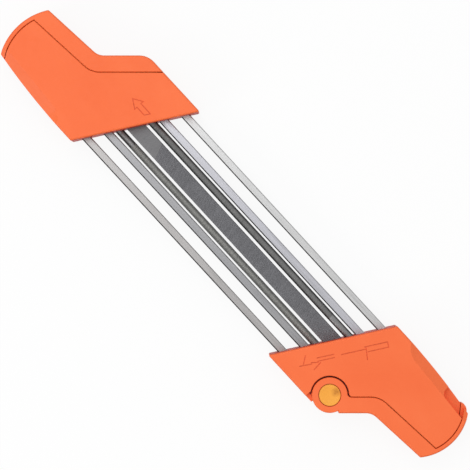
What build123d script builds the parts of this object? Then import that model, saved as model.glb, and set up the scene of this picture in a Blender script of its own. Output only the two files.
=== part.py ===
from build123d import *
import os
from math import cos, radians, sin, tan

# A two-handled guide for sharpening saw chain: four steel rails, two round files and one
# flat file run between two plastic handles. The bars lie along X, the arrow's handle at -X.
# It works either face down, so all levels are measured up from the bars' middle plane.
# Each piece is moved at the end to put the origin under the middle of the tool.

# Whole tool, millimetres and degrees
handle_thickness = 26.0
handle_width = 68.4
filing_angle = 30.0        # slant of the handles' inner faces, from square to the bars
handle_reach = 93.2        # from a slanted face on the centre line to the end of its grip
overrun = 5.0              # how far a cut passes a face

# Handle outline
tip_radius = 0.8
neck_angle = 47.35         # the handle's side leaves the cheek at this angle to the bars
neck_fillet = 9.0
grip_taper = 4.9           # the grip's lower side is this much off the bars' direction
grip_side_y = -8.3         # where that side ends
end_radius = 32.2          # of the rear handle's end
end_centre_y = 10.6
cover_end_radius = 38.0    # of the front handle's end
cover_end_trim = 1.8       # the front handle is shorter than the rear one by this
back_bend = 26.0           # the back edge starts to curve this far behind the slanted face
back_radius = 430.0
edge_rounding = 1.2
cover_corner_radius = 12.0
cover_neck = 9.7           # the front handle's side, out from where a pivot would be

# Bevel and finger pocket on the back edge
bevel_start = 43.0
bevel_width = 6.6
bevel_depth = 4.0
bevel_lean = 3.4           # the crease closes on the edge at this angle
bevel_entry_radius = 13.6
pocket_length = 26.0       # back from the end of the grip
pocket_depth = 7.4
pocket_radius = 4.0

# Seam between a handle's core and its cover or bail
seam_gap = 0.5
seam_bend_radius = 14.0
bail_seam = 0.9            # outward from the pivot
cover_seam = -0.6
arm_width = 10.5
end_band = 3.1
plate = 3.0
ledge_reach = 1.6          # the ledge under a seam passes it by this much on either side
ledge_thickness = 1.6
ledge_gap = 0.3            # under the bail's plates and round its eye

# Walls of the shells
wall = 2.4
crease_wall = 1.6          # the hollow stops this far short of the bevel's crease
parting_gap = 0.1          # between the two shells of a handle
seam_chamfer = 0.3

# Bail, its eye and its pin
pivot_setback = 22.7       # behind the slanted face on the centre line
eye_radius = 10.6
eye_inset = 0.25           # inside the handle's outline
eye_cover = 0.05           # the eye's rim stands this far past the arm's plates
eye_plate = 4.5
eye_gap = 1.0
notch = 5.4                # the bail's side starts this far past the pivot
cheek_end = 9.4            # the core's plate ends this far before the pivot
side_end = 4.2             # the core's side wall ends this far before the pivot
seam_corner_radius = 2.0
pin_radius = 4.0
pin_clearance = 0.05
head_radius = 6.4
head_recess_radius = 6.85
head_height = 2.0
head_drop = 0.5            # below the handle's face
dish_radius = 5.3
dish_depth = 0.4
pin_tip_radius = 2.5
tongue_radius = 7.6
tongue_gap = 0.3
tongue_rise = 5.0          # the tongue's upper side, above the pivot
tongue_root = 11.5         # the tongue's root reaches this far before the pivot
tongue_start = 140.0       # directions from the pivot between which the tongue's root lies
tongue_stop = 230.0
web_radius = 8.3
web_inset = 0.3            # inside the eye's rim
web_sweep = 120.0
web_start = -10.0

# Finger lip at the end of the bail
lip_band = 4.3             # from the lip's root to its inner face, towards the pivot
lip_gap = 0.4
lip_half_height = 6.5
lip_root_angle = 36.0
lip_low_angle = 8.0
lip_length = 6.0
lip_rise = 2.8
lip_shoulder_length = 2.8
lip_shoulder_rise = 2.4
lip_shoulder_radius = 4.0
lip_tip_radius = 1.1
lip_inset = 0.3            # the lip's root starts this far inside the end's outer face

# Rails
rail_thickness = 3.2
rail_end_depth = 12.4      # the rails end this far behind the slanted faces
rail_edge = 0.7
outer_rail_width = 4.8
outer_rail_setback = 7.8   # from the handles' sides to the outer rails' middle
inner_rail_width = 5.0
inner_rail_y = 14.8

# Files
file_length = 208.0        # a 200 mm file with its plain end
file_end_depth = 17.1      # the files end this far behind the slanted faces
round_file_diameter = 4.8
round_file_y = 8.9
round_file_share = 0.2     # this share of a round file stands above the cutter's top
flat_file_width = 10.0
flat_file_edge = 0.3
depth_gauge_setting = 0.65
bar_clearance = 0.08       # round every bar in its holder
window_clearance = 0.35    # round every bar in the slanted face

# Bar holder, its pins and the files' end stops
holder_depth = 9.6
holder_gap = 0.15
holder_side_gap = 0.8      # beside the holder, inside the shells' walls
rail_pin_radius = 1.2
rail_pin_depth = 4.8       # behind the holder's front
rail_pin_end_gap = 0.1
rail_pin_chamfer = 0.25
file_end_play = 0.3
stop_thickness = 2.4
stop_setback = 3.4         # the stop's plain strip lies this far behind the files' ends
stop_half_height = 6.0
stop_low_y = -11.6
stop_high_y = 10.0
tooth_low_top = -7.8       # upper sides of the stop's teeth, lowest first
tooth_mid_top = 5.0
tooth_mid_bottom = -5.5
tooth_high_bottom = 6.4
lever_thickness = 4.0
lever_half_height = 5.5
lever_root = 3.0

# Screws
screw_radius = 1.45
screw_head_radius = 2.6
screw_head_height = 2.1
screw_head_recess = 0.7
screw_socket_radius = 1.3
screw_socket_depth = 1.2
screw_reach = 17.0
screw_clearance = 0.05
head_clearance = 0.3
upper_boss_radius = 2.6
lower_boss_radius = 3.7
boss_split = 3.2           # bosses meet this far below the middle plane
boss_gap = 0.2
front_screw_inset = 12.5   # from the handle's sides
grip_screw_setback = 44.0  # behind the slanted face on the centre line
grip_screw_inset = 14.2    # from the back edge
end_screw_setback = 17.2   # before the end of the grip
end_screw_inset = 16.2     # from the back edge

# Marks sunk in the upper shells
mark_depth = 0.35
mark_stroke = 0.6
arrow_setback = 5.6
arrow_y = -10.0
arrow_shaft = 7.4
arrow_shaft_width = 3.8
arrow_head = 6.4
arrow_head_width = 8.0
diagram_setback = 10.2
diagram_strokes = [        # from x, y to x, y, with x along the slanted face and y towards it
    ((-1.7, -0.4), (12.6, -0.4)),
    ((12.6, 1.0), (26.6, 1.0)),
    ((14.0, -2.2), (26.6, -2.2)),
    ((26.6, 1.0), (26.6, -2.2)),
    ((12.6, 1.0), (13.4, -6.6)),
    ((-16.4, 0.8), (-6.4, 0.8)),
    ((-16.4, -1.2), (-6.4, -1.2)),
    ((-20.4, -1.8), (-16.4, -1.2)),
    ((-25.2, 3.6), (-23.0, -1.0)),
    ((-27.6, -2.0), (-20.4, -1.8)),
    ((-19.6, -2.4), (-15.2, -5.6)),
]

# Places worked out from the sizes above
half_thickness = handle_thickness / 2
half_width = handle_width / 2
front_gap = file_length - 2 * file_end_depth     # between the slanted faces, along the bars
front_x = front_gap / 2
end_x = front_x + handle_reach
end_centre_x = end_x - end_radius
rear_end = (end_centre_x, end_centre_y, end_radius)
cover_end = (end_x - cover_end_trim - cover_end_radius, end_centre_y, cover_end_radius)
far_x = end_x + overrun
pivot_x = front_x + pivot_setback
pivot_y = eye_radius + eye_inset - half_width
lip_root_x = end_centre_x + end_radius * cos(radians(lip_root_angle))
lip_root_y = end_centre_y + end_radius * sin(radians(lip_root_angle))
lip_inner_radius = Vector(lip_root_x - pivot_x, lip_root_y - pivot_y).length - lip_band
slant = tan(radians(filing_angle))
inner_level = half_thickness - wall
holder_front = wall / cos(radians(filing_angle)) + holder_gap
holder_back = holder_front + holder_depth
holder_half_width = half_width - wall - holder_side_gap
rail_length = front_gap + 2 * rail_end_depth
outer_rail_y = half_width - outer_rail_setback
flat_file_thickness = rail_thickness + 2 * depth_gauge_setting
round_file_radius = round_file_diameter / 2
round_file_level = rail_thickness / 2 + round_file_radius - round_file_share * round_file_diameter
bevel_x = front_x + bevel_start
crease_y = half_width - bevel_width


def front_at(y, depth=0):
    """X of the slanted face at y, or of a plane that lies depth behind it."""
    return front_x + depth + slant * y


def neck_x_at(y, offset):
    """X on a line along the neck that passes the pivot on its outer side by offset."""
    angle = radians(neck_angle)
    return pivot_x + (y - pivot_y + offset / cos(angle)) / tan(angle)


def grip_y_at(x, rise):
    """Y on a line along the grip's lower side, rise above it."""
    taper = radians(grip_taper)
    return grip_side_y + rise / cos(taper) + tan(taper) * (x - end_x)


def bend(offset, rise):
    """Corner where a neck line meets a grip line."""
    neck = tan(radians(neck_angle))
    grip = tan(radians(grip_taper))
    drop = pivot_y - offset / cos(radians(neck_angle))
    x = (grip_y_at(0, rise) - drop + neck * pivot_x) / (neck - grip)
    return x, grip_y_at(x, rise)


def crease_at(x, inset=0):
    """Y of the bevel's crease, or of a line that lies inset inside it."""
    return crease_y - inset - tan(radians(bevel_lean)) * (x - bevel_x)


def distance(vertex, x, y):
    """How far a corner lies from a point."""
    return Vector(vertex.X - x, vertex.Y - y).length


def rounded(corners):
    """Flat region through corners, each given as x, y and its radius."""
    points = [(x, y) for x, y, _ in corners]
    radii = [radius for _, _, radius in corners]
    return make_face(FilletPolyline(*points, radius=radii, close=True))


def disc(x, y, radius):
    """Round region whose start point lies towards -X."""
    return Pos(x, y) * Rot(0, 0, 180) * Circle(radius)


def band(x_low, x_high, y_low, y_high):
    """Rectangle between two X and two Y values."""
    middle = Pos((x_low + x_high) / 2, (y_low + y_high) / 2)
    return middle * Rectangle(x_high - x_low, y_high - y_low)


def slab(region, low, high):
    """Region raised into a solid between two levels."""
    return Pos(0, 0, low) * extrude(region, high - low)


def post(x, y, radius, low, high):
    """Upright cylinder between two levels."""
    return Pos(x, y, (low + high) / 2) * Cylinder(radius, high - low)


def behind_end(region, end, inset=0):
    """Region cut to a grip's round end, given by its centre and radius, or inset inside it."""
    x, y, radius = end
    body = band(-far_x, x, -far_x, far_x) + disc(x, y, radius - inset)
    return region & body


def outline(offset, corner_radius, end):
    """Plan of a whole handle."""
    sides = rounded([
        (front_at(-half_width), -half_width, tip_radius),
        (neck_x_at(-half_width, offset), -half_width, corner_radius),
        (*bend(offset, 0), neck_fillet),
        (far_x, grip_y_at(far_x, 0), 0),
        (far_x, half_width, 0),
        (front_at(half_width), half_width, tip_radius),
    ])
    bend_x = front_x + back_bend
    back = band(-far_x, bend_x, -far_x, far_x) + disc(bend_x, half_width - back_radius, back_radius)
    plan = behind_end(sides & back, end)
    x, y, radius = end
    ends = [v for v in plan.vertices() if v.X > x and distance(v, x, y) > radius - tip_radius]
    return fillet(ends, tip_radius)


def bevel_section(reach):
    """Upright face under the bevel: it falls away from the crease over reach."""
    fall = bevel_depth * reach / bevel_width
    section = Polyline((0, 0), (reach, -fall), (reach, overrun), (0, overrun), (0, 0))
    return make_face(Plane.YZ * section)


def bevel_cutter():
    """Wedge that cuts the bevel along the back edge, with a round start."""
    straight = extrude(bevel_section(bevel_width + overrun), far_x - bevel_x + overrun, dir=(1, 0, 0))
    entry = Pos(0, -bevel_entry_radius, 0) * bevel_section(bevel_entry_radius - tip_radius)
    turned = Pos(0, bevel_entry_radius, 0) * revolve(entry, Axis.Z, -90)
    place = Pos(bevel_x, crease_y, half_thickness) * Rot(0, 0, -bevel_lean)
    return place * (straight + turned)


def envelope(plan):
    """Outer form of a handle: its plan raised, rounded and bevelled on both faces."""
    solid = slab(plan, -half_thickness, half_thickness)
    solid = fillet(rims(solid), edge_rounding)
    cutter = bevel_cutter()
    return solid - cutter - mirror(cutter, Plane.XY)


def rims(solid):
    """Edges that lie in a handle's two faces."""
    top = solid.edges().filter_by_position(Axis.Z, half_thickness, half_thickness)
    return top + solid.edges().filter_by_position(Axis.Z, -half_thickness, -half_thickness)


def core_plan(offset, end, grow=0):
    """Region on the core's side of the seam, open past the outline elsewhere."""
    low = -half_width - overrun
    left = front_at(-half_width) - overrun
    high = half_width + overrun
    region = rounded([
        (left, low, 0),
        (neck_x_at(low, offset + grow), low, 0),
        (*bend(offset + grow, arm_width - grow), seam_bend_radius - grow),
        (far_x, grip_y_at(far_x, arm_width - grow), 0),
        (far_x, high, 0),
        (left, high, 0),
    ])
    return behind_end(region, end, end_band - grow)


def pivoted_core_plan(grow=0, clearance=eye_gap):
    """Core region of the rear handle, with a round clearance about the bail's eye."""
    region = core_plan(bail_seam, rear_end, grow)
    cheek = band(pivot_x - cheek_end + grow, pivot_x, -half_width - overrun, pivot_y)
    region = region - cheek - disc(pivot_x, pivot_y, eye_radius + clearance)
    corner = [v for v in region.vertices()
              if v.X > pivot_x and distance(v, pivot_x, pivot_y) < 2 * eye_radius]
    return fillet(corner, seam_corner_radius + grow)


def bar_shapes(gap, turned):
    """Long prisms of every bar's section, grown by gap. A turned handle has its files swapped."""
    length = front_gap + 2 * handle_reach
    sections = [(0, flat_file_width, flat_file_thickness)]
    for side in (-1, 1):
        sections.append((side * outer_rail_y, outer_rail_width, rail_thickness))
        sections.append((side * inner_rail_y, inner_rail_width, rail_thickness))
    prisms = [Pos(0, y) * Box(length, width + 2 * gap, height + 2 * gap)
              for y, width, height in sections]
    for side in (-1, 1):
        level = -side * round_file_level if turned else side * round_file_level
        place = Pos(0, side * round_file_y, level) * Rot(0, 90, 0)
        prisms.append(place * Cylinder(round_file_radius + gap, length))
    return prisms


def screw_places():
    """X and Y of a handle's four screws. The bosses of the first two back up the bar holder."""
    depth = holder_back + (lower_boss_radius + boss_gap) / cos(radians(filing_angle))
    y = half_width - front_screw_inset
    return [
        (front_at(-y, depth), -y),
        (front_at(y, depth), y),
        (front_x + grip_screw_setback, half_width - grip_screw_inset),
        (end_x - end_screw_setback, half_width - end_screw_inset),
    ]


def rail_pin(x, y):
    """Dowel with chamfered ends, just shorter than the room between the shells' plates."""
    top = inner_level - rail_pin_end_gap
    pin = post(x, y, rail_pin_radius, -top, top)
    return chamfer(pin.edges().filter_by(GeomType.CIRCLE), rail_pin_chamfer)


def pin_places():
    """X and Y of the pins that hold the rails in a holder."""
    depth = holder_front + rail_pin_depth
    return [(front_at(y, depth), y)
            for y in (-outer_rail_y, -inner_rail_y, inner_rail_y, outer_rail_y)]


def slanted_strip(near, far, y_low, y_high):
    """Plan of a strip that follows the slanted face between two depths behind it."""
    return make_face(Polyline(
        (front_at(y_low, near), y_low), (front_at(y_low, far), y_low),
        (front_at(y_high, far), y_high), (front_at(y_high, near), y_high),
        (front_at(y_low, near), y_low)))


def hollow_plan(plan):
    """Plan of the room inside the shells, closed along the front, the side and the back."""
    wall_x = front_at(holder_half_width, holder_back + holder_gap)
    thick_back = make_face(Polyline(
        (wall_x, crease_at(wall_x, crease_wall)), (far_x, crease_at(far_x, crease_wall)),
        (far_x, far_x), (wall_x, far_x), (wall_x, crease_at(wall_x, crease_wall))))
    return offset(plan, -wall) - thick_back


def shell_body(plan, core, turned):
    """Both shells of a handle in one, with bosses, windows for the bars and screw holes."""
    block = slab(core, -half_thickness, half_thickness)
    body = chamfer(rims(block), seam_chamfer) & envelope(plan)
    body -= slab(hollow_plan(plan), -inner_level, inner_level)
    for x, y in screw_places():
        body += post(x, y, upper_boss_radius, -boss_split, inner_level)
        body += post(x, y, lower_boss_radius, -inner_level, -boss_split)
    floor = -half_thickness + screw_head_recess + screw_head_height
    for x, y in screw_places():
        body -= post(x, y, screw_head_radius + head_clearance, -half_thickness - overrun, floor)
        body -= post(x, y, screw_radius + screw_clearance, floor, floor + screw_reach + head_clearance)
    near = slanted_strip(-overrun, holder_back, -half_width, half_width)
    windows = slab(near, -half_thickness, half_thickness)
    for prism in bar_shapes(window_clearance, turned):
        body -= prism & windows
    return body


def halves(body):
    """A body parted at the middle plane; the upper bosses reach down past it."""
    upper = body & slab(band(0, far_x, -far_x, far_x), parting_gap / 2, handle_thickness)
    lower = body & slab(band(0, far_x, -far_x, far_x), -handle_thickness, -parting_gap / 2)
    for x, y in screw_places():
        upper += post(x, y, upper_boss_radius, -boss_split, parting_gap) & body
        lower -= post(x, y, upper_boss_radius + boss_gap, -boss_split, 0)
    return upper, lower


def bar_holder(turned):
    """Block behind the slanted face that grips the rails and carries the files."""
    strip = slanted_strip(holder_front, holder_back, -holder_half_width, holder_half_width)
    block = slab(strip, -inner_level, inner_level)
    for prism in bar_shapes(bar_clearance, turned):
        block -= prism
    for x, y in pin_places():
        block -= post(x, y, rail_pin_radius, -inner_level, inner_level)
    return block


def file_stop():
    """Rubber strip behind the files, with a tooth that ends just short of each of them."""
    back = file_end_depth + stop_setback
    strip = slanted_strip(back, back + stop_thickness, stop_low_y, stop_high_y)
    teeth = [
        (-round_file_y, stop_low_y, tooth_low_top),
        (0, tooth_mid_bottom, tooth_mid_top),
        (round_file_y, tooth_high_bottom, stop_high_y),
    ]
    for y, low, high in teeth:
        face_x = front_at(y, file_end_depth + file_end_play)
        strip += band(face_x, front_at(high, back + stop_thickness / 2), low, high) - slanted_strip(
            back + stop_thickness / 2, back + 2 * stop_thickness + slant * (high - low), low, high)
    return slab(strip, -stop_half_height, stop_half_height)


def group(solids):
    """Separate solids kept together in one node."""
    return Compound(children=list(solids))


def screw(x, y):
    """Socket screw that enters from below."""
    seat = -half_thickness + screw_head_recess + screw_head_height
    head = post(x, y, screw_head_radius, seat - screw_head_height, seat)
    shank = post(x, y, screw_radius, seat, seat + screw_reach)
    hexagon = Pos(x, y) * RegularPolygon(screw_socket_radius, 6)
    face = seat - screw_head_height
    return head + shank - slab(hexagon, face, face + screw_socket_depth)


def rail(y, width):
    """Flat steel rail with eased edges and a hole for a pin near each end."""
    bar = Pos(slant * y, y) * Box(rail_length, width, rail_thickness)
    bar = fillet(bar.edges().filter_by(Axis.X), rail_edge)
    for x, pin_y in pin_places():
        if abs(pin_y) == abs(y):
            side = 1 if pin_y == y else -1
            bar -= post(side * x, y, rail_pin_radius + pin_clearance, -rail_thickness, rail_thickness)
    return bar


def arrow_mark():
    """Hollow arrow that points out along the grip, its tail along the slanted face."""
    tail = front_at(arrow_y, arrow_setback)
    neck = tail + arrow_shaft
    tip = neck + arrow_head
    half_shaft, half_head = arrow_shaft_width / 2, arrow_head_width / 2
    skew = slant * half_shaft
    shape = make_face(Polyline(
        (tail - skew, arrow_y - half_shaft), (neck, arrow_y - half_shaft),
        (neck, arrow_y - half_head), (tip, arrow_y), (neck, arrow_y + half_head),
        (neck, arrow_y + half_shaft), (tail + skew, arrow_y + half_shaft),
        (tail - skew, arrow_y - half_shaft)))
    return shape - offset(shape, -mark_stroke, kind=Kind.INTERSECTION)


def usage_diagrams():
    """Plain line diagrams along the slanted face: a file beside a bar, and a saw link."""
    place = Pos(front_at(0, diagram_setback), 0) * Rot(0, 0, 90 - filing_angle)
    lines = []
    for start, end in diagram_strokes:
        run = Vector(*end) - Vector(*start)
        middle = (Vector(*start) + Vector(*end)) / 2
        turned = Pos(middle.X, middle.Y) * Rot(0, 0, Vector(1, 0).get_signed_angle(run))
        line = place * turned * Rectangle(run.length + mark_stroke, mark_stroke)
        lines.append(slab(line, half_thickness - mark_depth, half_thickness))
    return lines


def channel(plan, arm, room):
    """Channel over an arm's plan: two plates and the walls that its room leaves."""
    block = slab(arm, -half_thickness, half_thickness)
    block = chamfer(rims(block), seam_chamfer) & envelope(plan)
    return block - slab(room, plate - half_thickness, half_thickness - plate)


def channel_room(plan, end):
    """Room inside a channel, closed along the side and by the end band."""
    return behind_end(offset(plan, -wall), end, end_band - seam_gap)


def cover_ledge(plan):
    """Ledges that reach from the front cover under the core's plates, all along the seam."""
    across = core_plan(cover_seam, cover_end, seam_gap + ledge_reach)
    across -= core_plan(cover_seam, cover_end, -ledge_reach)
    strip = across & offset(hollow_plan(plan), -ledge_gap)
    strip += across & offset(plan, -wall / 2) - core_plan(cover_seam, cover_end, seam_gap)
    low = inner_level - ledge_thickness
    return slab(strip, low, inner_level) + slab(strip, -inner_level, -low)


def bail_ledge(plan):
    """Ledges of the rear core under the bail's plates, along the seam and round the eye."""
    room = offset(plan, -wall - ledge_gap)
    top = half_thickness - plate - ledge_gap
    low = top - ledge_thickness
    inside = pivoted_core_plan(-ledge_reach, eye_gap + ledge_reach)
    under = behind_end(pivoted_core_plan(ledge_reach, ledge_gap) & room, rear_end, end_band)
    root = pivoted_core_plan() & room
    ledge = slab(under - inside, low, top) + slab(root - inside, low, inner_level + wall / 2)
    return ledge + mirror(ledge, Plane.XY)


def sector(start, stop):
    """Wedge about the pivot between two directions, under half a turn apart."""
    reach = 2 * handle_width
    angles = [radians(start), radians((start + stop) / 2), radians(stop)]
    points = [(pivot_x + reach * cos(a), pivot_y + reach * sin(a)) for a in angles]
    return make_face(Polyline((pivot_x, pivot_y), *points, (pivot_x, pivot_y)))


def from_end_centre(angle, radius):
    """Point at an angle and a distance from the centre of the grip's end."""
    return end_centre_x + radius * cos(radians(angle)), end_centre_y + radius * sin(radians(angle))


def lip_plan():
    """Plan of the finger lip and of the thicker end band that carries it."""
    centre = (end_centre_x, end_centre_y)
    buried = end_radius - lip_inset
    root = from_end_centre(lip_root_angle, buried)
    wedge = make_face(Polyline(
        centre, from_end_centre(lip_low_angle, 2 * end_radius),
        from_end_centre(lip_root_angle, 2 * end_radius), centre))
    lip = rounded([
        (*centre, 0),
        (*root, 0),
        (root[0] - lip_shoulder_length, root[1] + lip_shoulder_rise, lip_shoulder_radius),
        (root[0] - lip_length, root[1] + lip_rise, lip_tip_radius),
    ])
    return (wedge & disc(*centre, buried)) + lip - disc(pivot_x, pivot_y, lip_inner_radius)


def lever_plan():
    """Plan of the bail's inner lever, from the eye to behind the files' stop."""
    near = file_end_depth + stop_setback + stop_thickness
    far = near + lever_thickness
    root_y = pivot_y + eye_radius - lever_root
    return make_face(Polyline(
        (front_at(stop_low_y, near), stop_low_y),
        (pivot_x - lever_root, stop_low_y),
        (pivot_x - lever_root, root_y),
        (pivot_x + lever_root, root_y),
        (front_at(stop_high_y, far), stop_high_y),
        (front_at(stop_high_y, near), stop_high_y),
        (front_at(stop_low_y, near), stop_low_y)))


def latch_bail(plan):
    """Swinging channel with its two eyes, the web between them, the lever and the lip."""
    along = Pos(pivot_x, pivot_y) * Rot(0, 0, neck_angle)
    past = along * band(notch, 2 * end_x, -end_x, end_x)
    before = along * band(-handle_width, notch, -handle_width, handle_width)
    eye = disc(pivot_x, pivot_y, eye_radius)
    arm = (plan & past) - pivoted_core_plan(seam_gap, -eye_cover) + eye
    bail = channel(plan, arm, channel_room(plan, rear_end) & past)
    eye_level = half_thickness - eye_plate
    bail -= slab(before, -eye_level, eye_level)
    web = disc(pivot_x, pivot_y, eye_radius - web_inset) - disc(pivot_x, pivot_y, web_radius)
    bail += slab(web & sector(web_start, web_start + web_sweep), -eye_level, eye_level)
    for level in (eye_level, plate - half_thickness):
        bail += post(pivot_x, pivot_y, eye_radius - web_inset, level, level + eye_plate - plate)
    lever = lever_plan() - disc(pivot_x, pivot_y, web_radius)
    bail += slab(lever, -lever_half_height, lever_half_height)
    bail += slab(lip_plan(), -lip_half_height, lip_half_height)
    bail -= post(pivot_x, pivot_y, pin_radius + pin_clearance, -half_thickness, half_thickness)
    recess = half_thickness - head_height - head_drop
    bail -= post(pivot_x, pivot_y, head_recess_radius, recess, half_thickness + overrun)
    bail -= post(pivot_x, pivot_y, head_recess_radius, -half_thickness - overrun, -recess)
    return bail


def tongue(eye_outline):
    """Ear of the rear shells that the pin passes through, between the bail's eyes."""
    level = half_thickness - eye_plate - tongue_gap
    ear = disc(pivot_x, pivot_y, tongue_radius)
    root_x = pivot_x - tongue_root
    root = band(root_x, pivot_x, -half_width + wall / 2, pivot_y + tongue_rise)
    root &= sector(tongue_start, tongue_stop)
    side = band(root_x, pivot_x - side_end, -half_width, -half_width + wall)
    plan = (ear + root + side) & eye_outline
    return slab(plan, -level, level) - post(
        pivot_x, pivot_y, pin_radius + pin_clearance, -half_thickness, half_thickness)


def finger_pocket():
    """Room cut into the back edge beside the lip, from the upper face down."""
    start = end_x - pocket_length
    region = rounded([
        (start, crease_at(start), pocket_radius),
        (far_x, crease_at(far_x), 0),
        (far_x, far_x, 0),
        (start, far_x, 0),
    ])
    return slab(region, half_thickness - pocket_depth, half_thickness + overrun)


def pivot_pin():
    """Pin with a dished head; its thin lower end passes through the cap."""
    face = half_thickness - head_drop
    pin = post(pivot_x, pivot_y, pin_radius, head_height - face, face - head_height)
    head = post(pivot_x, pivot_y, head_radius, face - head_height, face)
    dish = (dish_radius ** 2 + dish_depth ** 2) / (2 * dish_depth)
    pin += head - Pos(pivot_x, pivot_y, face - dish_depth + dish) * Sphere(dish)
    return pin + post(pivot_x, pivot_y, pin_tip_radius, -face, 0)


def pivot_cap():
    """Cap on the pin's lower end."""
    face = half_thickness - head_drop
    cap = post(pivot_x, pivot_y, head_radius, -face, head_height - face)
    return cap - post(pivot_x, pivot_y, pin_tip_radius + pin_clearance, -half_thickness, 0)


parts = {}

# Front handle: built as a rear one and turned about Z, without an eye
turn = Rot(0, 0, 180)
cover_outline = outline(cover_neck, cover_corner_radius, cover_end)
front_body = shell_body(cover_outline, core_plan(cover_seam, cover_end), True)
backstop_depth = file_end_depth + stop_setback + stop_thickness
backstop = slanted_strip(backstop_depth, backstop_depth + wall, stop_low_y, stop_high_y)
front_body += slab(backstop, -inner_level, inner_level)
front_upper, front_lower = halves(front_body)
front_upper -= slab(arrow_mark(), half_thickness - mark_depth, half_thickness)
cover_arm = cover_outline - core_plan(cover_seam, cover_end, seam_gap)
cover = channel(cover_outline, cover_arm, channel_room(cover_outline, cover_end))
cover += cover_ledge(cover_outline)
parts["front_handle_upper_shell"] = turn * front_upper
parts["front_handle_lower_shell"] = turn * front_lower
parts["front_handle_side_cover"] = turn * cover
parts["front_file_cushion"] = turn * file_stop()

# Rear handle with its swinging bail
eye_outline = outline(eye_radius + eye_inset, eye_radius + eye_inset, rear_end)
rear_body = shell_body(eye_outline, pivoted_core_plan(), False) + bail_ledge(eye_outline)
rear_body += tongue(eye_outline)
lip_room = band(end_centre_x, far_x, end_centre_y, half_width)
lip_room -= disc(pivot_x, pivot_y, lip_inner_radius - lip_gap)
rear_body -= slab(lip_room, -lip_half_height - lip_gap, lip_half_height + lip_gap)
rear_body = rear_body - finger_pocket() - mirror(finger_pocket(), Plane.XY)
rear_upper, rear_lower = halves(rear_body)
for line in usage_diagrams():
    rear_upper -= line
parts["rear_handle_upper_shell"] = rear_upper
parts["rear_handle_lower_shell"] = rear_lower
parts["latch_bail"] = latch_bail(eye_outline)
parts["file_stop_pad"] = file_stop()
parts["bail_pivot_pin"] = pivot_pin()
parts["bail_pivot_cap"] = pivot_cap()

# Holders, pins and screws, the same in both handles
for side, place in (("front", turn), ("rear", Pos(0, 0, 0))):
    parts[side + "_bar_holder"] = place * bar_holder(side == "front")
    parts[side + "_rail_pins"] = place * group(rail_pin(x, y) for x, y in pin_places())
    parts[side + "_handle_screws"] = place * group(screw(x, y) for x, y in screw_places())

# Rails and files
for side, name in ((-1, "left"), (1, "right")):
    parts["outer_rail_" + name] = rail(side * outer_rail_y, outer_rail_width)
    parts["inner_rail_" + name] = rail(side * inner_rail_y, inner_rail_width)
    place = Pos(slant * side * round_file_y, side * round_file_y, side * round_file_level)
    parts["round_file_" + name] = place * Rot(0, 90, 0) * Cylinder(round_file_radius, file_length)
flat = Box(file_length, flat_file_width, flat_file_thickness)
parts["flat_file"] = fillet(flat.edges().filter_by(Axis.X), flat_file_edge)

os.makedirs("parts", exist_ok=True)
lift = Pos(-cover_end_trim / 2, 0, half_thickness)
for name, shape in parts.items():
    lifted = group(lift * solid for solid in shape.solids())
    export_step(lifted, os.path.join("parts", name + ".step"))
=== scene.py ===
from math import cos, pi, radians, sin

import bmesh
import bpy
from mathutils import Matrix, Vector


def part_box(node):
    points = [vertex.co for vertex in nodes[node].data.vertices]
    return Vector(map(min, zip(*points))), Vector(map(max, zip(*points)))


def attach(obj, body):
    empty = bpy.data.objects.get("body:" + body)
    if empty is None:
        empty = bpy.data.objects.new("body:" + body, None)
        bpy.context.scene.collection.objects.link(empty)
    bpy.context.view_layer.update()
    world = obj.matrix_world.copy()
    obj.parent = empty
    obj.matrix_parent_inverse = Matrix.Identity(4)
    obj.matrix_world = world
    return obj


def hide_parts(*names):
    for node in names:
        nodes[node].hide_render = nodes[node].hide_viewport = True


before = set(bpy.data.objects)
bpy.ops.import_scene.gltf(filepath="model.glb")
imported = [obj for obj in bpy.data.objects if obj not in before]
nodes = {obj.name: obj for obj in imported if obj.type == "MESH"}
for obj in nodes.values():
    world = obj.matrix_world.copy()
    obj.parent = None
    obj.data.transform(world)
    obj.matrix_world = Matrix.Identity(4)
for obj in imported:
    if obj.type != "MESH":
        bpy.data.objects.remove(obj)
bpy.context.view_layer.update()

# ---------------------------------------------------------------- measures, in metres
MM = 0.001
MIDDLE = 13.0 * MM               # level of the bars' middle plane
VIEW_ANGLE = radians(47.35)      # the bars' direction in the photograph
CAMERA_HEIGHT = 1.5
VIEW_WIDTH = 0.2825              # across the picture, at the bars' plane
SENSOR = 36.0
CAMERA_X, CAMERA_Y = 0.21 * MM, -0.21 * MM

FLOOR_REACH = 12.0               # half its side
FLOOR_WHITE = (0.9, 0.9, 0.9)
FLOOR_GREY = (0.2, 0.2, 0.2)
FLOOR_GLOW = 0.89                # share of the floor's white that no shadow dims

SKY = 0.76                       # the world's strength overhead, and how high it has faded to that
SKY_RISE = (0.15, 0.85)
HORIZON = (0.04, 1.0)            # its strength at the horizon, towards -Y and towards +Y
LAMPS = (                        # name, place, size and power
    ("key", (-0.35, -1.5, 0.9), 0.9, 10.4),
    ("top", (-0.65, 0.1, 1.6), 1.0, 6.0),
)

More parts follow.
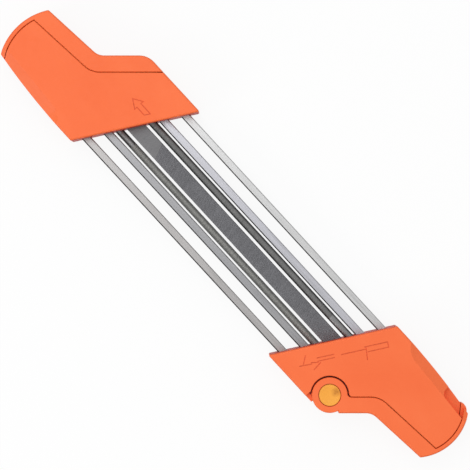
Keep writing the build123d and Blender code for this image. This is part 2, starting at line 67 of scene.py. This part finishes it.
# The files' teeth
PITCH = 0.66 * MM
ROWS = 4                         # mesh rows to a tooth
TOOTH = (0.0, 0.45, 1.0, 0.75)   # how deep each row of a tooth lies, as a share
PLAIN = 0.6                      # how deep the plain steel lies, as a share
VARIATION = 0.15                 # teeth differ in depth by this share, over this step of a sine
VARIATION_STEP = 2.4
ROUND_DEPTH = 0.13 * MM
FLAT_DEPTH = 0.11 * MM
SPIRAL_STARTS = 8
SPIRAL_SIDES = 40
FLAT_EDGE = 0.3 * MM
FLAT_LEAN = -0.43                # how far the flat file's teeth run along for each step across
HIDDEN_END = 6.0 * MM            # plain steel at an end that lies inside a handle
LEFT_START = -80.6 * MM          # where the plain end that shows goes over into the teeth
RIGHT_STOP = 75.1 * MM
FLAT_START, FLAT_STOP = -67.5 * MM, 95.1 * MM
MERGE = 0.004 * MM               # points of a mesh closer than this are one

# Where shade and light are painted into the plastic's colour
MARKS = (12.3 * MM, 12.5 * MM, 12.72 * MM, 12.9 * MM)    # floors of the sunk marks, off the middle, where shade is painted into the colour
LEDGES = (9.0 * MM, 9.3 * MM, 10.7 * MM, 10.8 * MM)      # ledges under the seams, where light and shade are painted
INWARD = (0.866, -0.5)           # square to the handles' slanted faces
SLANT_REACH = (110.0 * MM, 112.0 * MM)    # how far from the middle those faces lie
HEAD_RECESS = 7.0 * MM           # radius of the recess round the pin's head
EYE_GROOVE = 12.0 * MM           # the painted shade in the groove round the bail's eye reaches this far
DISH_SHADE = (1.2 * MM, 3.8 * MM, 0)  # of the painted shade on one side of the yellow pin's dish, from its centre
DISH_SHADE_FADE = (0.6 * MM, 3.2 * MM)


# ---------------------------------------------------------------- node helpers
def linear(r, g, b):
    """Linear colour of an 8-bit screen colour."""
    def one(v):
        v /= 255.0
        return v / 12.92 if v <= 0.04045 else ((v + 0.055) / 1.055) ** 2.4
    return one(r), one(g), one(b), 1.0


class Nodes:
    """A material's node tree, with short calls for what the materials below share."""

    def __init__(self, name):
        self.material = bpy.data.materials.new(name)
        self.material.use_nodes = True
        self.tree = self.material.node_tree
        self.shader = self.tree.nodes["Principled BSDF"]
        coords = self.tree.nodes.new("ShaderNodeTexCoord")
        self.place = coords.outputs["Object"]
        self.normal = coords.outputs["Normal"]

    def link(self, a, b):
        self.tree.links.new(a, b)

    def scaled(self, scale, turn=0.0):
        """Object coordinates, stretched and turned about Z."""
        mapping = self.tree.nodes.new("ShaderNodeMapping")
        mapping.inputs["Scale"].default_value = scale
        mapping.inputs["Rotation"].default_value = (0, 0, turn)
        self.link(self.place, mapping.inputs["Vector"])
        return mapping.outputs["Vector"]

    def noise(self, scale, detail=2.0, vector=None):
        """Soft noise over the object, or over another vector."""
        node = self.tree.nodes.new("ShaderNodeTexNoise")
        node.inputs["Scale"].default_value = scale
        node.inputs["Detail"].default_value = detail
        self.link(vector or self.place, node.inputs["Vector"])
        return node.outputs["Fac"]

    def ramp(self, value, low, high, start=0.35, end=0.65):
        """Value mapped onto a range."""
        node = self.tree.nodes.new("ShaderNodeMapRange")
        node.inputs["From Min"].default_value = start
        node.inputs["From Max"].default_value = end
        node.inputs["To Min"].default_value = low
        node.inputs["To Max"].default_value = high
        self.link(value, node.inputs["Value"])
        return node.outputs["Result"]

    def part(self, vector, axis):
        """One of a vector's three numbers."""
        node = self.tree.nodes.new("ShaderNodeSeparateXYZ")
        self.link(vector, node.inputs[0])
        return node.outputs[axis]

    def sum(self, operation, a, b=None):
        """Result of a sum on one or two numbers or outputs."""
        node = self.tree.nodes.new("ShaderNodeMath")
        node.operation = operation
        for socket, value in zip(node.inputs, (a, b)):
            if isinstance(value, bpy.types.NodeSocket):
                self.link(value, socket)
            elif value is not None:
                socket.default_value = value
        return node.outputs[0]

    def away(self, vector, point):
        """Distance of a place from a point."""
        node = self.tree.nodes.new("ShaderNodeVectorMath")
        node.operation = "DISTANCE"
        self.link(vector, node.inputs[0])
        node.inputs[1].default_value = point
        return node.outputs["Value"]

    def between(self, value, limits):
        """1 where a value lies between the inner two of four limits, 0 outside the outer two."""
        rise = self.ramp(value, 0.0, 1.0, limits[0], limits[1])
        return self.sum("MULTIPLY", rise, self.ramp(value, 1.0, 0.0, limits[2], limits[3]))

    def mix(self, factor, a, b):
        """Colour between two colours or outputs."""
        node = self.tree.nodes.new("ShaderNodeMix")
        node.data_type = "RGBA"
        for socket, value in ((node.inputs[6], a), (node.inputs[7], b)):
            if isinstance(value, tuple):
                socket.default_value = value
            else:
                self.link(value, socket)
        self.link(factor, node.inputs[0])
        return node.outputs[2]

    def bump(self, height, distance, strength=1.0, normal=None):
        """Normal of a surface with a fine relief, over another one."""
        node = self.tree.nodes.new("ShaderNodeBump")
        node.inputs["Distance"].default_value = distance
        node.inputs["Strength"].default_value = strength
        self.link(height, node.inputs["Height"])
        if normal:
            self.link(normal, node.inputs["Normal"])
        return node.outputs["Normal"]

    def set(self, **sockets):
        """Principled sockets by name, with spaces as underscores; outputs are linked."""
        for name, value in sockets.items():
            socket = self.shader.inputs[name.replace("_", " ")]
            if isinstance(value, bpy.types.NodeSocket):
                self.link(value, socket)
            else:
                socket.default_value = value


# ---------------------------------------------------------------- materials
def moulded(name, main, light, dark, grain=1.0):
    """Fine-grained moulded plastic with faint flow marks; its nodes and its colour."""
    n = Nodes(name)
    flow = n.noise(28.0, 3.0, n.scaled((1.0, 1.6, 1.0), 0.5))
    patch = n.noise(160.0, 4.0)
    base = n.mix(n.ramp(flow, 0.0, 1.0), dark, light)
    base = n.mix(n.ramp(patch, 0.35, 0.65), base, main)
    fine = n.noise(2600.0, 2.0)
    coarse = n.noise(900.0, 2.0)
    normal = n.bump(coarse, 0.020 * MM * grain, 0.5)
    normal = n.bump(fine, 0.012 * MM * grain, 0.6, normal)
    n.set(Roughness=n.ramp(coarse, 0.46, 0.56), Normal=normal, Specular_IOR_Level=0.38)
    return n, base


def handle_plastic():
    """Orange moulding; painted shade lies in the marks, on the slanted faces and in the groove round
    the bail's eye, and painted light on the seams' ledges.
    """
    n, base = moulded("orange_moulding", linear(250, 112, 57), linear(252, 118, 64),
                      linear(246, 107, 53))
    level = n.sum("ABSOLUTE", n.sum("SUBTRACT", n.part(n.place, "Z"), MIDDLE))
    flat = n.ramp(n.sum("ABSOLUTE", n.part(n.normal, "Z")), 0.0, 1.0, 0.93, 0.97)
    # Painted shade: the floors of the sunk marks are darkened, as if shade lay in them.
    marks = n.sum("MULTIPLY", n.between(level, MARKS), n.ramp(n.noise(500.0), 0.25, 0.6))
    ledges = n.between(level, LEDGES)
    low, high = (Vector(corner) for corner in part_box("bail_pivot_pin"))
    from_pivot = n.away(n.scaled((1, 1, 0)), ((low.x + high.x) / 2, (low.y + high.y) / 2, 0))
    # Painted light and shade on the seams' ledges: light orange lifts the shadow in the seams, and
    # dark red paints the shade in the groove round the bail's eye.
    eye_groove_shade = n.between(from_pivot, (HEAD_RECESS, HEAD_RECESS + MM, EYE_GROOVE, EYE_GROOVE + MM))
    seam_light_and_shade = n.mix(eye_groove_shade, linear(255, 148, 70), linear(120, 24, 6))
    # Painted shade: the handles' slanted faces by the bars are darkened, as if in shadow.
    inward = n.away(n.normal, (INWARD[0], INWARD[1], 0))
    outward = n.away(n.normal, (-INWARD[0], -INWARD[1], 0))
    near_bars = n.ramp(n.sum("ABSOLUTE", n.part(n.place, "X")), 1.0, 0.0, *SLANT_REACH)
    slant_shade = n.ramp(n.sum("MINIMUM", inward, outward), 1.0, 0.0, 0.15, 0.4)
    slant_shade = n.sum("MULTIPLY", slant_shade, near_bars)
    base = n.mix(slant_shade, base, linear(215, 46, 4))
    base = n.mix(n.sum("MULTIPLY", marks, flat), base, linear(202, 80, 38))
    base = n.mix(n.sum("MULTIPLY", ledges, flat), base, seam_light_and_shade)
    n.set(Base_Color=base)
    return n.material


def pin_plastic():
    """Yellow moulding with painted shade at one side of the pin's dish."""
    n, base = moulded("yellow_moulding", linear(246, 166, 58), linear(250, 172, 64),
                      linear(238, 158, 54), 0.7)
    low, high = (Vector(corner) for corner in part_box("bail_pivot_pin"))
    spot = (low + high) / 2 + Vector(DISH_SHADE)
    away = n.away(n.place, (spot.x, spot.y, high.z))
    # Painted shade: one side of the pin's dish is darkened, as if shaded.
    pin_dish_shade = n.sum("MULTIPLY", n.ramp(away, 1.0, 0.0, *DISH_SHADE_FADE),
                 n.ramp(n.noise(420.0, 3.0), 0.35, 1.0))
    n.set(Base_Color=n.mix(pin_dish_shade, base, linear(172, 96, 10)))
    return n.material


def rolled_steel(name, tone, tint, dark=0.82, sides=(0.05, 0.6)):
    """Bright zinc-plated flat bar, brushed along its length; its rounded edges can take painted
    shade.
    """
    n = Nodes(name)
    streak = n.noise(900.0, 4.0, n.scaled((0.035, 1.0, 1.0)))
    cloud = n.noise(70.0, 4.0, n.scaled((0.5, 1.0, 1.0)))
    speck = n.noise(1500.0, 2.0)
    clear = tuple(tone * c for c in tint) + (1.0,)
    dull = tuple(tone * dark * c for c in tint) + (1.0,)
    base = n.mix(n.ramp(streak, 0.0, 1.0, 0.25, 0.75), dull, clear)
    base = n.mix(n.ramp(cloud, 0.0, 0.35, 0.4, 0.7), base, dull)
    across = n.part(n.normal, "Y")
    rounded = n.ramp(n.sum("ABSOLUTE", across), 1.0, 0.0, 0.96, 0.99)
    # Painted shade: the rounded edges are darkened, the one facing -Y almost to black and the one
    # facing +Y less.
    for share, start, end in ((sides[0], -0.02, -0.15), (sides[1], 0.2, 0.5)):
        edge_shade_colour = tuple(tone * share * c for c in tint) + (1.0,)
        reach = n.sum("MULTIPLY", n.ramp(across, 0.0, 1.0, start, end), rounded)
        base = n.mix(reach, base, edge_shade_colour)
    normal = n.bump(streak, 0.010 * MM, 0.5)
    normal = n.bump(speck, 0.006 * MM, 0.4, normal)
    n.set(Base_Color=base, Metallic=1.0, Roughness=n.ramp(streak, 0.30, 0.44), Normal=normal)
    return n.material


def file_steel(name, tone, tint, roughness=0.42, metal=1.0, flank_shade_start=0.0, shade=0.12):
    """Dark hardened steel with fine cross scratches; painted shade can darken a round file's flanks.
    """
    n = Nodes(name)
    grain = n.noise(700.0, 4.0, n.scaled((1.0, 0.25, 0.25), 0.4))
    cloud = n.noise(60.0, 3.0)
    speck = n.noise(1700.0, 3.0)
    clear = tuple(tone * c for c in tint) + (1.0,)
    dull = tuple(tone * 0.7 * c for c in tint) + (1.0,)
    base = n.mix(n.ramp(grain, 0.0, 1.0, 0.3, 0.7), dull, clear)
    base = n.mix(n.ramp(cloud, 0.0, 0.3), base, dull)
    # Painted shade: the flanks, facing sideways in the world, are darkened as if the light missed
    # them.
    if flank_shade_start:
        facing = n.tree.nodes.new("ShaderNodeNewGeometry").outputs["Normal"]
        side = n.ramp(n.sum("ABSOLUTE", n.part(facing, "Y")), 0.0, 1.0, flank_shade_start, flank_shade_start + 0.3)
        base = n.mix(side, base, tuple(tone * shade * c for c in tint) + (1.0,))
    normal = n.bump(grain, 0.012 * MM, 0.4)
    normal = n.bump(speck, 0.010 * MM, 0.4, normal)
    n.set(Base_Color=base, Metallic=metal, Normal=normal)
    n.set(Roughness=n.ramp(grain, roughness - 0.05, roughness + 0.07))
    return n.material


def plain_rubber(name, value):
    """Matt black rubber or nylon with a fine grain."""
    n = Nodes(name)
    fine = n.noise(1800.0, 3.0)
    low = (value * 0.7, value * 0.7, value * 0.72, 1.0)
    high = (value * 1.3, value * 1.3, value * 1.3, 1.0)
    n.set(Base_Color=n.mix(n.ramp(fine, 0.0, 1.0), low, high))
    n.set(Roughness=n.ramp(fine, 0.6, 0.8), Normal=n.bump(fine, 0.02 * MM, 0.5))
    return n.material


orange = handle_plastic()
yellow = pin_plastic()
rubber = plain_rubber("black_rubber", 0.035)
nylon = plain_rubber("black_nylon", 0.03)
zinc = rolled_steel("zinc_fastener", 0.66, (1.0, 1.0, 1.02), sides=(1.0, 1.0))
rails = {
    "outer_rail_left": rolled_steel("rail_steel_warm", 0.45, (1.02, 0.99, 0.98)),
    "inner_rail_left": rolled_steel("rail_steel_grey", 0.37, (0.99, 0.99, 1.02)),
    "inner_rail_right": rolled_steel("rail_steel_cool", 0.55, (0.98, 0.98, 1.05)),
    "outer_rail_right": rolled_steel("rail_steel_pale", 0.60, (1.0, 1.0, 1.0), 0.88),
}
# The two round files are one steel in a lit and a shaded copy: the left painted lighter, the right
# darker, each with painted shade on its flanks.
round_steels = {
    "left": file_steel("left_round_file_steel_lit", 0.35, (1.02, 1.02, 0.97), 0.55, 0.5, 0.6, 0.2),
    "right": file_steel("right_round_file_steel_shaded", 0.22, (1.0, 1.0, 0.99), 0.55, 0.5, 0.42, 0.05),
}
flat_steel = file_steel("flat_file_steel", 0.215, (0.98, 0.98, 1.04), 0.46)
plain_steel = file_steel("plain_file_steel", 0.195, (1.0, 0.99, 1.02), 0.42)
# The round files' plain ends also take painted shade on their flanks.
shank_steel = file_steel("round_file_end_steel", 0.30, (1.0, 1.0, 1.0), 0.45, 0.7, 0.5)


def dress(node, material):
    """Gives a CAD node its material."""
    slots = nodes[node].data.materials
    slots.clear()
    slots.append(material)


for node in nodes:
    if node in rails:
        dress(node, rails[node])
    elif "screws" in node or "pins" in node:
        dress(node, zinc)
    elif "holder" in node:
        dress(node, nylon)
    elif "cushion" in node or "stop_pad" in node:
        dress(node, rubber)
    elif "file" in node:
        dress(node, plain_steel)
    elif node.startswith("bail_pivot"):
        dress(node, yellow)
    else:
        dress(node, orange)


# ---------------------------------------------------------------- files with cut teeth
def depth_at(row, along, start, stop):
    """How deep a point of a row lies under a file's surface, as a share of the teeth's depth."""
    if along < start or along > stop:
        return PLAIN
    vary = 1 - VARIATION + VARIATION * sin(VARIATION_STEP * (row // ROWS))
    return TOOTH[row % ROWS] * vary


def finish_file(name, points, faces, node, body, materials, start, stop):
    """Object from a file's mesh, closed at its ends, with the plain steel outside the teeth."""
    mesh = bpy.data.meshes.new(name)
    mesh.from_pydata(points, [], faces)
    for material in materials:
        mesh.materials.append(material)
    bm = bmesh.new()
    bm.from_mesh(mesh)
    bmesh.ops.remove_doubles(bm, verts=bm.verts, dist=MERGE)
    bmesh.ops.holes_fill(bm, edges=[e for e in bm.edges if e.is_boundary], sides=0)
    bmesh.ops.recalc_face_normals(bm, faces=bm.faces)
    for face in bm.faces:
        middle = face.calc_center_median().x
        face.material_index = 0 if start <= middle <= stop else 1
    bm.to_mesh(mesh)
    bm.free()
    piece = bpy.data.objects.new(name, mesh)
    bpy.context.scene.collection.objects.link(piece)
    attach(piece, body)
    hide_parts(node)


def add_round_file(side, start, stop):
    """Round file, its teeth cut along a steep spiral between two places along the bars."""
    node = "round_file_" + side
    low, high = (Vector(corner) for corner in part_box(node))
    centre = (low + high) / 2
    radius = (high.z - low.z) / 2
    first, last = low.x, high.x
    turn = SPIRAL_STARTS * ROWS
    step = PITCH / ROWS
    rows = int((last - first) / step) + turn + 2
    points, faces = [], []
    for row in range(rows):
        for k in range(SPIRAL_SIDES):
            share = k / SPIRAL_SIDES
            x = min(max(first + (row - turn + turn * share) * step, first), last)
            depth = depth_at(row, x, start, stop)
            r = radius - ROUND_DEPTH * depth
            angle = 2 * pi * share
            points.append((x, centre.y + r * cos(angle), centre.z + r * sin(angle)))

    def index(row, k):
        if k == SPIRAL_SIDES:
            return min(row + turn, rows - 1) * SPIRAL_SIDES
        return row * SPIRAL_SIDES + k

    for row in range(rows - 1):
        for k in range(SPIRAL_SIDES):
            face = (index(row, k), index(row, k + 1), index(row + 1, k + 1), index(row + 1, k))
            if len(set(face)) > 2:
                faces.append(tuple(dict.fromkeys(face)))
    finish_file(side + "_round_file_toothed", points, faces, node, side + "_round_file",
                (round_steels[side], shank_steel), start, stop)


def add_flat_file(start, stop):
    """Flat file, its teeth cut across both faces at a lean."""
    low, high = (Vector(corner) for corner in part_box("flat_file"))
    middle = (low + high) / 2
    wide, tall = (high.y - low.y) / 2, (high.z - low.z) / 2
    step = PITCH / ROWS
    reach = abs(FLAT_LEAN) * wide
    rows = int((high.x - low.x + 2 * reach) / step) + 2
    points, faces = [], []
    for row in range(rows):
        u = low.x - reach + row * step
        cut = FLAT_DEPTH * depth_at(row, u, start, stop)
        section = [
            (-wide, FLAT_EDGE - tall), (-wide, tall - FLAT_EDGE),
            (FLAT_EDGE - wide, tall - cut), (wide - FLAT_EDGE, tall - cut),
            (wide, tall - FLAT_EDGE), (wide, FLAT_EDGE - tall),
            (wide - FLAT_EDGE, cut - tall), (FLAT_EDGE - wide, cut - tall),
        ]
        for y, z in section:
            x = min(max(u + FLAT_LEAN * y, low.x), high.x)
            points.append((x, middle.y + y, middle.z + z))
    count = len(section)
    for row in range(rows - 1):
        for k in range(count):
            after = (k + 1) % count
            faces.append((row * count + k, row * count + after,
                          (row + 1) * count + after, (row + 1) * count + k))
    finish_file("flat_file_toothed", points, faces, "flat_file", "frame",
                (flat_steel, plain_steel), start, stop)


left_box, right_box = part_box("round_file_left"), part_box("round_file_right")
add_round_file("left", LEFT_START, right_box[1][0] - HIDDEN_END)
add_round_file("right", left_box[0][0] + HIDDEN_END, RIGHT_STOP)
add_flat_file(FLAT_START, FLAT_STOP)


# ---------------------------------------------------------------- camera, floor and light
def add_camera():
    """Camera square above the bars' middle, turned as the photograph shows them."""
    data = bpy.data.cameras.new("photo_camera")
    data.sensor_width = SENSOR
    data.lens = SENSOR * CAMERA_HEIGHT / VIEW_WIDTH
    camera = bpy.data.objects.new("photo_camera", data)
    camera.location = (CAMERA_X, CAMERA_Y, MIDDLE + CAMERA_HEIGHT)
    camera.rotation_euler = (0, 0, VIEW_ANGLE)
    bpy.context.scene.collection.objects.link(camera)
    bpy.context.scene.camera = camera


def add_floor():
    """White floor with a faint shadow to the camera, and a grey one to the light that it returns."""
    mesh = bpy.data.meshes.new("floor")
    corners = [(-FLOOR_REACH, -FLOOR_REACH, 0), (FLOOR_REACH, -FLOOR_REACH, 0),
               (FLOOR_REACH, FLOOR_REACH, 0), (-FLOOR_REACH, FLOOR_REACH, 0)]
    mesh.from_pydata(corners, [], [(0, 1, 2, 3)])
    floor = bpy.data.objects.new("floor", mesh)
    bpy.context.scene.collection.objects.link(floor)
    n = Nodes("floor_white")
    path = n.tree.nodes.new("ShaderNodeLightPath").outputs
    direct = n.sum("MAXIMUM", path["Is Camera Ray"], path["Is Glossy Ray"])
    direct = n.sum("MAXIMUM", direct, path["Is Transmission Ray"])
    n.set(Base_Color=n.mix(direct, (*FLOOR_GREY, 1), (*FLOOR_WHITE, 1)))
    n.set(Roughness=0.9, Specular_IOR_Level=0.0)
    glow = n.tree.nodes.new("ShaderNodeEmission")
    mix = n.tree.nodes.new("ShaderNodeMixShader")
    n.link(n.sum("MULTIPLY", direct, FLOOR_GLOW), mix.inputs["Fac"])
    n.link(n.shader.outputs[0], mix.inputs[1])
    n.link(glow.outputs[0], mix.inputs[2])
    n.link(mix.outputs[0], n.tree.nodes["Material Output"].inputs["Surface"])
    mesh.materials.append(n.material)


def add_area(name, place, size, power):
    """Soft lamp aimed at the object's middle."""
    data = bpy.data.lights.new(name, "AREA")
    data.shape = "SQUARE"
    data.size = size
    data.energy = power
    lamp = bpy.data.objects.new(name, data)
    lamp.location = place
    lamp.rotation_euler = (-Vector(place)).to_track_quat("-Z", "Y").to_euler()
    bpy.context.scene.collection.objects.link(lamp)


def add_world():
    """Soft light from above that falls off to a dimmer horizon, dimmest on the left of the bars."""
    world = bpy.context.scene.world or bpy.data.worlds.new("studio")
    bpy.context.scene.world = world
    world.use_nodes = True
    tree = world.node_tree
    back = tree.nodes["Background"]
    back.inputs["Color"].default_value = (1, 1, 1, 1)
    coords = tree.nodes.new("ShaderNodeTexCoord")
    split = tree.nodes.new("ShaderNodeSeparateXYZ")
    tree.links.new(coords.outputs["Generated"], split.inputs[0])
    horizon = tree.nodes.new("ShaderNodeMapRange")
    horizon.inputs["From Min"].default_value = -1.0
    horizon.inputs["To Min"].default_value, horizon.inputs["To Max"].default_value = HORIZON
    tree.links.new(split.outputs["Y"], horizon.inputs["Value"])
    height = tree.nodes.new("ShaderNodeMapRange")
    height.inputs["From Min"].default_value, height.inputs["From Max"].default_value = SKY_RISE
    height.inputs["To Max"].default_value = SKY
    tree.links.new(split.outputs["Z"], height.inputs["Value"])
    tree.links.new(horizon.outputs["Result"], height.inputs["To Min"])
    tree.links.new(height.outputs["Result"], back.inputs["Strength"])


add_camera()
add_floor()
add_world()
for lamp in LAMPS:
    add_area(*lamp)

bpy.context.scene.view_settings.view_transform = "Standard"
